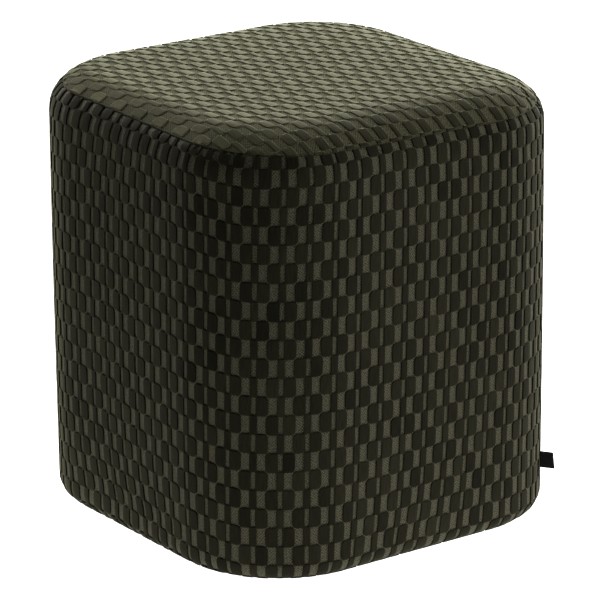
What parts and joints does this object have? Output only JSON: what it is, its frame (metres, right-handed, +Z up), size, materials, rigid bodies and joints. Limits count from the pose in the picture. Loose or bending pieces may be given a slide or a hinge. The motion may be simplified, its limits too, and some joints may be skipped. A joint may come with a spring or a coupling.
{
  "type": "cube pouf stool",
  "caption": "Firm upholstered cube pouf with large rounded upright corners, a nearly flat top panel seamed just below its edge, one upright side seam and a small folded side label.",
  "frame": {"origin": "on the floor, under the middle of the pouf", "axes": "+Z up, -Y out of the front wall; the label's corner is between the front wall and the +X wall"},
  "size_m": [0.4036, 0.401, 0.421],
  "materials": {
    "velvet_side": "matte cut pile",
    "velvet_top": "matte cut pile",
    "base_cloth": "matte plain cloth",
    "label_black": "satin woven ribbon"
  },
  "bodies": {
    "root": {"stuffed_side_band": "velvet_side", "top_panel": "velvet_top", "base_panel": "base_cloth", "side_label": "label_black"}
  },
  "joints": []
}
